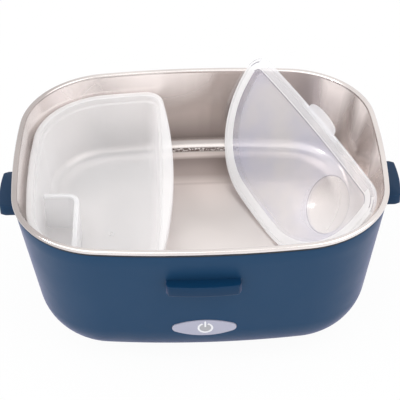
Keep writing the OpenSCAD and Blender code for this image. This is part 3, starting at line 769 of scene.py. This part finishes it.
box_rows += [(-LEDGE - 0.5, BOX_TOP), (-LEDGE - 1.1, BOX_TOP - 0.25), (-LEDGE - BOX_WALL, BOX_TOP - 1)]
box_rows += [(-LEDGE - BOX_WALL, LEDGE_Z + 2.3), (-LEDGE - BOX_WALL - 0.35, LEDGE_Z + 1.7),
             (-LEDGE - STEP - BOX_WALL + 0.35, LEDGE_Z + 1.3), (-LEDGE - STEP - BOX_WALL, LEDGE_Z + 0.7)]
box_rows += turn_rows(-box_out - BOX_R, BOX_UNDER + BOX_R, BOX_R - BOX_WALL, 360 - BOX_LEAN, 270, 10)
box_rows += [(-box_out - FLOOR_IN, BOX_UNDER + BOX_WALL)]
food_box = ring_shell("food_box_shell", box_rows, food_box_line)

# %% [markdown]
# A wall with one rounded corner closes off a pocket for sauce in the front left of the box. It is
# drawn as a plan, extruded up, and has a wider lip along its top.

# %% Pocket wall
POCKET_X, POCKET_Y, POCKET_TOP = -75.7, -3.0, 78.0      # outer faces of its two walls, and its top
POCKET_R = 8.0
INTO_LEFT, INTO_FRONT = -98.5, -70.5            # where the walls end inside the box's own wall


def bend_points(thick):
    """Plan of two walls of one thickness that meet in a rounded corner."""
    xc, yc = POCKET_X - POCKET_R, POCKET_Y - POCKET_R
    points = [(INTO_LEFT, POCKET_Y)] + walk([(xc, yc, POCKET_R, 90, 0, 12)])
    points += [(POCKET_X, yc), (POCKET_X, INTO_FRONT), (POCKET_X - thick, INTO_FRONT)]
    points += walk([(xc, yc, POCKET_R - thick, 0, 90, 12)])
    return points + [(xc, POCKET_Y - thick), (INTO_LEFT, POCKET_Y - thick)]


pocket = prism("pocket_wall", bend_points(1.5), BOX_UNDER + 0.7, POCKET_TOP - 1.2)
pocket_lip = prism("pocket_lip", bend_points(3.0), POCKET_TOP - 1.5, POCKET_TOP)
for piece in (pocket, pocket_lip):
    soften(piece, 0.5, 3)
    finish_shading(piece, 40)
    print(piece.name, "has", len(piece.data.polygons), "faces")

# %% [markdown]
# The gate mark is the small scar left on the floor where the plastic flowed into the mould: a
# ring that stands a little out of the floor.

# %% Gate mark
bpy.ops.object.select_all(action="DESELECT")
bpy.ops.mesh.primitive_torus_add(major_radius=1.6 * MM, minor_radius=0.35 * MM, major_segments=32,
                                 minor_segments=10)
gate_mark = start_piece("gate_mark")
settle(gate_mark, Matrix.Translation(Vector((-57.0, -12.0, BOX_UNDER + BOX_WALL + 0.1)) * MM))
finish_shading(gate_mark)
print("gate mark at", [round(v, 4) for v in gate_mark.data.vertices[0].co])

# %% [markdown]
# Unfilled polypropylene is milky: some light passes straight through and the rest is scattered.
# A thin wall is well described by a white surface that is partly see-through, and that gets
# denser where it is seen edge on, because the light then passes through more of it.


# %% Milky plastic
def milky(name, colour, clear, dense, roughness, second=None):
    """Clear and dense are its cover seen square on and edge on. Second is a colour that it
    drifts to in slow patches."""
    mat, shader = finish(name, colour, roughness)
    nodes, links = mat.node_tree.nodes, mat.node_tree.links
    facing = nodes.new("ShaderNodeLayerWeight")
    facing.inputs["Blend"].default_value = 0.35
    links.new(between(mat, facing.outputs["Facing"], clear, dense, 0.0, 1.0), shader.inputs["Alpha"])
    slow = between(mat, noise(mat, 25), 0.0, 1.0, 0.35, 0.65)
    tint = blend_colours(mat, slow, second or shade(colour, 0.98), colour)
    links.new(tint, shader.inputs["Base Color"])
    links.new(between(mat, noise(mat, 80), roughness - 0.02, roughness + 0.03), shader.inputs["Roughness"])
    relief(mat, shader, noise(mat, 600, detail=2), 3e-6)
    return mat


box_plastic = milky("milky_box_plastic", (0.98, 0.97, 0.975), 0.36, 0.82, 0.3)
pocket_plastic = milky("milky_pocket_plastic", (0.97, 0.965, 0.975), 0.30, 0.75, 0.3)
for piece, mat in ((food_box, box_plastic), (pocket, pocket_plastic), (pocket_lip, pocket_plastic),
                   (gate_mark, box_plastic)):
    piece.data.materials.append(mat)
    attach(piece, "food_box")
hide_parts("food_box")
print("milky plastics of the food box:", box_plastic.name, pocket_plastic.name)

# %% [markdown]
# ## Lid of the food box
# The lid has a plan like the box's. A raised border, a groove and a sunk panel stiffen it, and a
# short skirt hangs from its edge. It is modelled lying flat and then leaned against the tray's
# wall in one move, as it stands on the real one.

# %% Lid shell
BORDER = 8.0
PANEL = 3.0
LID_T = 1.4
lid_rows = [(-BORDER - 3, -PANEL - LID_T), (-BORDER - 0.6, -PANEL - LID_T),
            (-BORDER + 0.2, -PANEL - LID_T + 0.5), (-BORDER + 1.2, -LID_T), (-1.3, -LID_T),
            (-1.3, -2.5), (0, -2.5), (0, -0.7), (-0.2, -0.2), (-0.7, 0), (-2.2, 0), (-2.6, -0.35),
            (-3.0, 0), (-BORDER + 1.6, 0), (-BORDER + 0.7, 0), (-BORDER - 0.1, -0.3), (-BORDER - 0.7, -1.4),
            (-BORDER - 1.4, -PANEL + 0.3), (-BORDER - 2.2, -PANEL), (-BORDER - 4, -PANEL)]
lid = ring_shell("lid_shell", lid_rows, lid_line)

# %% [markdown]
# A finger tab stands out of the straight edge: a flat outline, extruded and lightly bevelled.

# %% Finger tab
TAB_Y = -4.0
TAB_IN, TAB_ROOT = -27.5, -24.9                 # inside the lid's edge, and just out of it
TAB_REACH, TAB_HALF, TAB_FOOT = 5.6, 15.5, 20   # how far out, half its length, half its foot's
tab_points = [(TAB_IN, TAB_Y - TAB_FOOT), (TAB_ROOT, TAB_Y - TAB_FOOT)]
for i in range(13):
    t = math.pi * i / 12
    tab_points.append((TAB_ROOT + TAB_REACH * math.sin(t) ** 0.6, TAB_Y - TAB_HALF * math.cos(t)))
tab_points += [(TAB_ROOT, TAB_Y + TAB_FOOT), (TAB_IN, TAB_Y + TAB_FOOT)]
tab = prism("finger_tab", tab_points, -LID_T, 0)
soften(tab, 0.4, 2)
finish_shading(tab, 40)
print("finger tab has", len(tab.data.polygons), "faces")

# %% [markdown]
# The dish is pressed into the panel from above. Its section is a shallow part of a sphere with a
# soft edge, given as rings from the edge to the middle.

# %% Rings of the dish
DISH_AT = (-58.6, -45.8)
DISH_R = 18.0
DISH_DEPTH = 4.0
DISH_RINGS = 14


def dish_rings(radius, top):
    """(ring radius, height) from the dish's edge to its middle."""
    sphere_r = (radius ** 2 + DISH_DEPTH ** 2) / (2 * DISH_DEPTH)
    reach = math.asin(radius / sphere_r)
    rings = [(radius + 0.9, top), (radius + 0.45, top - 0.06), (radius, top - 0.3)]
    for i in range(1, DISH_RINGS):
        t = reach * (1 - i / DISH_RINGS)
        rings.append((sphere_r * math.sin(t), top - DISH_DEPTH + sphere_r * (1 - math.cos(t))))
    return rings


upper_rings = dish_rings(DISH_R, -PANEL)
lower_rings = dish_rings(DISH_R + 1.0, -PANEL - LID_T)
print("rings of the dish:", len(upper_rings), "on each face of the sheet")

# %% [markdown]
# The panel's flat face is deleted and made again as a fill between the panel's outline and a
# circle at the dish's edge. The circle is then extruded down, ring by ring. This is done once for
# each face of the sheet.


# %% Dish
def press_dish(piece, rings):
    """Replaces the flat face at the height of the first ring by one with a dish in it."""
    edge_r, top = rings[0]
    pick_only(piece)
    bpy.ops.object.mode_set(mode="EDIT")
    bpy.ops.mesh.select_mode(type="EDGE")
    bpy.ops.mesh.select_all(action="DESELECT")
    mesh = bmesh.from_edit_mesh(piece.data)
    flat = max((f for f in mesh.faces if abs(f.calc_center_median().z - top * MM) < 1e-5),
               key=lambda f: f.calc_area())
    kept = {(round(v.co.x, 7), round(v.co.y, 7)) for v in flat.verts}
    bmesh.ops.delete(mesh, geom=[flat], context="FACES_ONLY")
    bmesh.update_edit_mesh(piece.data)
    bpy.ops.mesh.primitive_circle_add(vertices=64, radius=edge_r * MM,
                                      location=Vector((*DISH_AT, top)) * MM)
    mesh = bmesh.from_edit_mesh(piece.data)
    for e in mesh.edges:
        on_outline = all((round(v.co.x, 7), round(v.co.y, 7)) in kept for v in e.verts)
        on_level = all(abs(v.co.z - top * MM) < 1e-6 for v in e.verts)
        if on_level and (not e.link_faces or (len(e.link_faces) == 1 and on_outline)):
            e.select = True
    bmesh.update_edit_mesh(piece.data)
    bpy.ops.mesh.fill(use_beauty=True)
    bpy.ops.mesh.select_all(action="DESELECT")
    mesh = bmesh.from_edit_mesh(piece.data)
    middle = Vector(DISH_AT) * MM
    for e in mesh.edges:
        if all(abs((v.co.xy - middle).length - edge_r * MM) < 1e-6 for v in e.verts):
            e.select = len(e.link_faces) == 1
    bmesh.update_edit_mesh(piece.data)
    for (r0, z0), (r1, z1) in zip(rings, rings[1:]):
        bpy.ops.mesh.extrude_edges_move(TRANSFORM_OT_translate={"value": (0, 0, (z1 - z0) * MM)})
        bpy.ops.transform.resize(value=(r1 / r0, r1 / r0, 1), center_override=(*middle, z1 * MM))
    bpy.ops.mesh.edge_face_add()
    bpy.ops.mesh.select_all(action="SELECT")
    bpy.ops.mesh.normals_make_consistent(inside=False)
    bpy.ops.object.mode_set(mode="OBJECT")


press_dish(lid, upper_rings)
press_dish(lid, lower_rings)
finish_shading(lid, 40)
print("lid with its dish:", len(lid.data.polygons), "faces")

# %% [markdown]
# The border along the curve, with its skirt, is thicker than the panel and looks denser, the
# straight side and its tab are clearer, and the dish is clearest, because it was stretched thin.
# The sharp bends of the dish and of the straight side are painted as thin grey lines: painted
# shade where the clear sheet bends. So the lid's faces are sorted over five plastics by their
# place, while the lid still lies flat.

# %% Plastics of the lid
ON_BORDER, ON_BEND_SHADE, ON_EDGE, ON_DISH = 1, 2, 3, 4       # the plastics after the panel's own
lid_plastic = milky("clear_lid_plastic", (0.76, 0.76, 0.89), 0.20, 0.70, 0.10, second=(0.88, 0.86, 0.88))
border_plastic = milky("lid_border_plastic", (0.98, 0.98, 0.99), 0.44, 0.9, 0.2)
# Grey for the bends of the sheet: painted shade.
bend_painted_shade = milky("lid_bend_painted_shade", (0.30, 0.30, 0.36), 0.45, 0.85, 0.2)
edge_plastic = milky("lid_edge_plastic", (0.95, 0.95, 0.98), 0.20, 0.74, 0.15)
dish_plastic = milky("lid_dish_plastic", (0.90, 0.88, 0.89), 0.16, 0.6, 0.06)
for mat in (lid_plastic, border_plastic, bend_painted_shade, edge_plastic, dish_plastic):
    lid.data.materials.append(mat)
for face in lid.data.polygons:
    x, y, z = face.center / MM
    from_dish = math.dist((x, y), DISH_AT)
    upward = face.normal.z > 0.5
    straight = x > STRAIGHT_X - BORDER - 5
    if abs(from_dish - DISH_R - 0.2) < 0.25 and face.normal.z > 0:
        face.material_index = ON_BEND_SHADE
    elif from_dish < DISH_R:
        face.material_index = ON_DISH
    elif straight and upward and -0.25 < z < -0.05 and x < STRAIGHT_X - BORDER + 2:
        face.material_index = ON_BEND_SHADE
    elif straight and upward and z > -0.05 and x < STRAIGHT_X - BORDER + 1.7:
        face.material_index = ON_BORDER
    elif z > -LID_T - 1.2 and not (z < -0.5 and face.normal.z > 0):
        face.material_index = ON_EDGE if straight else ON_BORDER
tab.data.materials.append(edge_plastic)
faces_on = [face.material_index for face in lid.data.polygons]
print("faces on each plastic:", [faces_on.count(i) for i in range(len(lid.data.materials))])

# %% [markdown]
# The lid and its tab are now leaned together: first moved so that the middle of the lid is at the
# origin, then turned about X, Y and Z, and lifted to its place in the tray.

# %% Lean the lid
lean = (Matrix.Translation(Vector((56.2, 10.35, 87.95)) * MM)
        @ Matrix.Rotation(math.radians(19.35), 4, "Z") @ Matrix.Rotation(math.radians(-56.8), 4, "Y")
        @ Matrix.Rotation(math.radians(5.2), 4, "X") @ Matrix.Translation(Vector((60, 0, 0)) * MM))
for piece in (lid, tab):
    settle(piece, lean)
    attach(piece, "box_lid")
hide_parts("box_lid")
print("lid's highest point:", round(max(v.co.z for v in lid.data.vertices), 4))

# %% [markdown]
# ## Power button
# The button is a pale oval cap, flush with the wall and crowned as much as the wall is bowed. The
# power mark is moulded on it: an open ring and a bar, as very thin raised pieces.

# %% Button cap
CROWN_R = SIDE_R - (HALF_WIDTH + BUTTON_Y)      # how the front wall is bowed at that height


def crown(piece, height):
    """Lowers a piece made on the button's plane onto the bowed face."""
    for v in piece.data.vertices:
        if v.co.z > -0.5 * MM:                  # its top, and not its back
            v.co.z += height * MM - v.co.x ** 2 / (2 * CROWN_R * MM)


cap = prism("button_cap", oval_points(39.0, 14.4, 3.6), -3.4, 0)
bpy.ops.object.mode_set(mode="EDIT")
bpy.ops.mesh.select_all(action="DESELECT")
mesh = bmesh.from_edit_mesh(cap.data)
for f in mesh.faces:
    f.select = f.normal.z > 0.9
mesh.select_flush(True)
bmesh.update_edit_mesh(cap.data)
for inset in (0.25, 0.5, 2.0, 2.0):             # rings on the top, for the crown to bend
    bpy.ops.mesh.inset(thickness=inset * MM)
bpy.ops.object.mode_set(mode="OBJECT")
crown(cap, 0.45)
flange = prism("button_flange", oval_points(43.0, 16.0, 4.0), -4.3, -3.3)
stem = prism("button_stem", walk([(0, 0, 2.0, 0, 360, 40)]), -7.0, -4.0)
for piece in (cap, flange, stem):
    settle(piece, AT_BUTTON)
    finish_shading(piece, 30)
print("button cap has", len(cap.data.polygons), "faces")

# %% [markdown]
# The mark is an open ring with a bar in its gap, round a grey disc. Each is a flat outline that is
# extruded by a third of a millimetre and lowered onto the crown, so that its edge shows.

# %% Power mark
MARK_Y = 3.6                                    # of the bar, up from the ring's middle
MARK_X = 0.6                                    # of the whole mark, right of the cap's middle


def open_ring(name, r0, r1, gap_deg, z0, z1):
    steps = 48
    t0, t1 = math.radians(90 + gap_deg), math.radians(450 - gap_deg)
    turns = [t0 + (t1 - t0) * i / steps for i in range(steps + 1)]
    points = [(r1 * math.cos(t), r1 * math.sin(t)) for t in turns]
    points += [(r0 * math.cos(t), r0 * math.sin(t)) for t in reversed(turns)]
    return prism(name, points, z0, z1)


ring = open_ring("power_ring", 3.55, 4.75, 22, -0.3, 0.05)
bar = prism("power_bar", rounded_points(1.1, 5.4, 0.5), -0.3, 0.05)
for v in bar.data.vertices:
    v.co.y += MARK_Y * MM
disc = prism("power_disc", walk([(0, 0, 3.3, 0, 360, 48)]), -0.3, 0.0)
for piece in (ring, bar, disc):
    for v in piece.data.vertices:
        v.co.x += MARK_X * MM
    crown(piece, 0.47)
    settle(piece, AT_BUTTON)
print("pieces of the mark:", ring.name, bar.name, disc.name)

# %% [markdown]
# The cap is a satin lavender grey, the ring and the bar are white, and the disc is grey.

# %% Button finishes
cap_plastic = moulded("button_plastic", (0.43, 0.43, 0.53), roughness=0.38, grain=1600, depth=2e-6, vary=0.03)
mark_white = moulded("mark_white", (0.86, 0.86, 0.88), roughness=0.4, grain=1600, depth=2e-6, vary=0.02)
mark_grey = moulded("mark_grey", (0.42, 0.42, 0.44), roughness=0.4, grain=1600, depth=2e-6, vary=0.03)
for piece, mat in ((cap, cap_plastic), (flange, cap_plastic), (stem, cap_plastic), (ring, mark_white),
                   (bar, mark_white), (disc, mark_grey)):
    piece.data.materials.append(mat)
    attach(piece, "button")
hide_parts("power_button")
print("finishes of the button:", cap_plastic.name, mark_white.name, mark_grey.name)

# %% [markdown]
# ## Finishes of the inner pieces
# The heater, wires and boards keep their solids. They show when the tray is lifted out or the
# bottom is seen, so each gets the finish of its own material. Moulded takes a colour, roughness,
# grain, depth and variation, and bare metal a colour, roughness, line direction, scale and depth.


# %% Finishes for the solids that stay
def bare_metal(name, colour, roughness, lines, scale, depth):
    """Metal with drawn or brushed lines: lines stretches the noise along the work's direction."""
    mat, shader = finish(name, colour, roughness, metallic=1.0)
    links = mat.node_tree.links
    streaks = noise(mat, scale, lines, detail=4, rough=0.65)
    links.new(between(mat, streaks, roughness * 0.75, roughness * 1.3), shader.inputs["Roughness"])
    tint = blend_colours(mat, noise(mat, 20, lines), shade(colour, 0.92), shade(colour, 1.05))
    links.new(tint, shader.inputs["Base Color"])
    relief(mat, shader, streaks, depth)
    return mat


def strip(name):
    return bare_metal(name, (0.5, 0.5, 0.49), 0.28, (1, 0.05, 1), 900, 2e-6)


def sleeve(name, colour):
    return moulded(name, colour, roughness=0.5, grain=500, depth=5e-6, vary=0.12)


solids = {
    "inner_well": moulded("liner_plastic", (0.012, 0.013, 0.015), 0.5, 700, 8e-6, 0.1),
    "bottom_cover": moulded("cover_plastic", (0.010, 0.012, 0.016), 0.5, 700, 1e-5, 0.1),
    "rim_seal": moulded("seal_silicone", (0.03, 0.03, 0.032), 0.6, 300, 6e-6, 0.1),
    "heating_plate": bare_metal("cast_plate", (0.62, 0.62, 0.61), 0.38, (1, 0.05, 1), 500, 4e-6),
    "heater_element": bare_metal("heater_case", (0.55, 0.55, 0.54), 0.34, (0.04, 1, 1), 600, 4e-6),
    "heater_clamp": strip("clamp_strip"),
    "thermostat_strap": strip("strap_strip"),
    "fuse_clip": strip("clip_strip"),
    "insulation_pad": moulded("fibre_board", (0.62, 0.57, 0.45), 0.85, 350, 1e-4, 0.2),
    "thermostat": moulded("thermostat_plastic", (0.02, 0.02, 0.022), 0.45, 800, 5e-6, 0.1),
    "thermal_fuse": bare_metal("fuse_case", (0.6, 0.5, 0.3), 0.3, (1, 0.1, 1), 800, 2e-6),
    "terminal_block": moulded("block_plastic", (0.72, 0.69, 0.6), 0.5, 700, 6e-6, 0.06),
    "power_inlet": moulded("inlet_plastic", (0.010, 0.011, 0.012), 0.45, 900, 8e-6, 0.1),
    "inlet_pins": bare_metal("pin_metal", (0.7, 0.66, 0.56), 0.2, (1, 0.1, 1), 900, 1e-6),
    "inlet_wires": sleeve("brown_sleeve", (0.16, 0.06, 0.025)),
    "heater_wires": sleeve("red_sleeve", (0.42, 0.02, 0.015)),
    "board_wires": sleeve("blue_sleeve", (0.03, 0.1, 0.35)),
    "button_frame": moulded("frame_plastic", (0.018, 0.02, 0.024), 0.5, 800, 6e-6, 0.1),
    "control_board": moulded("solder_mask", (0.015, 0.12, 0.045), 0.28, 250, 1.5e-5, 0.25),
    "tact_switch": moulded("switch_plastic", (0.015, 0.015, 0.016), 0.4, 900, 4e-6, 0.1),
    "rubber_feet": moulded("foot_rubber", (0.012, 0.012, 0.013), 0.8, 400, 2e-5, 0.15),
    "status_led": moulded("led_lens", (0.7, 0.72, 0.7), 0.15, 900, 1e-6, 0.04),
}
screw_steel = bare_metal("screw_steel", (0.6, 0.6, 0.59), 0.3, (1, 1, 0.1), 1200, 2e-6)
for name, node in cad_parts.items():
    mat = screw_steel if name.endswith(("_screws", "_screw")) else solids.get(name)
    if mat:
        node.data.materials.clear()
        node.data.materials.append(mat)
print("solids with a finish of their own:", len(solids))

# %% [markdown]
# ## Studio
# The lunch box stands on a wide pale floor that keeps its soft shadow. To the camera the floor is
# nearly all glow, so it looks white without adding light to the object.

# %% Floor
bpy.ops.object.select_all(action="DESELECT")
bpy.ops.mesh.primitive_plane_add(size=6.0, location=(0, 0, 0))
floor = start_piece("floor")
floor_mat, plain = finish("floor_white", (0.86, 0.86, 0.87), 0.9)
nodes, links = floor_mat.node_tree.nodes, floor_mat.node_tree.links
glow = nodes.new("ShaderNodeEmission")
glow.inputs["Strength"].default_value = 1.0
rays = nodes.new("ShaderNodeLightPath").outputs
mix = nodes.new("ShaderNodeMixShader")
links.new(combine(floor_mat, "MULTIPLY", rays["Is Camera Ray"], 0.95), mix.inputs["Fac"])
links.new(plain.outputs["BSDF"], mix.inputs[1])
links.new(glow.outputs["Emission"], mix.inputs[2])
links.new(mix.outputs["Shader"], nodes["Material Output"].inputs["Surface"])
floor.data.materials.append(floor_mat)
print("floor is", floor.dimensions.x, "m wide")

# %% [markdown]
# The sky is an even white for the camera, in reflections and through clear plastic, and a little
# weaker for the light that it adds. Two large soft lamps light the object from the front left and
# the front right. The third is small, and is seen as a spot of light in the lid's dish.

# %% Sky and lamps
world = bpy.data.worlds.new("studio")
bpy.context.scene.world = world
world.use_nodes = True
sky = world.node_tree.nodes["Background"]
sky.inputs["Color"].default_value = (1.0, 1.0, 1.0, 1)
rays = world.node_tree.nodes.new("ShaderNodeLightPath").outputs
seen = combine(world, "ADD", rays["Is Camera Ray"], rays["Is Glossy Ray"])
seen = combine(world, "ADD", seen, rays["Is Transmission Ray"])
give(world, between(world, seen, 0.86, 1.0, 0.0, 1.0), sky.inputs["Strength"])


def soft_lamp(name, place, aim, size, power):
    data = bpy.data.lights.new(name, "AREA")
    data.shape = "SQUARE"
    data.size = size
    data.energy = power
    lamp = bpy.data.objects.new(name, data)
    bpy.context.scene.collection.objects.link(lamp)
    lamp.location = place
    lamp.rotation_euler = (Vector(place) - Vector(aim)).to_track_quat("Z", "Y").to_euler()
    print(name, "lamp:", size, "m wide,", power, "W")


soft_lamp("window", place=(-1.1, -0.3, 0.9), aim=(0.07, 0, 0.07), size=0.18, power=3.0)
soft_lamp("key", place=(-0.7, -0.7, 1.3), aim=(0, 0, 0.05), size=1.6, power=7.4)
soft_lamp("fill", place=(0.9, -0.4, 1.0), aim=(0, 0, 0.05), size=1.2, power=6)

# %% [markdown]
# ## Finish

# %% Finish
print("lunch box dressed")
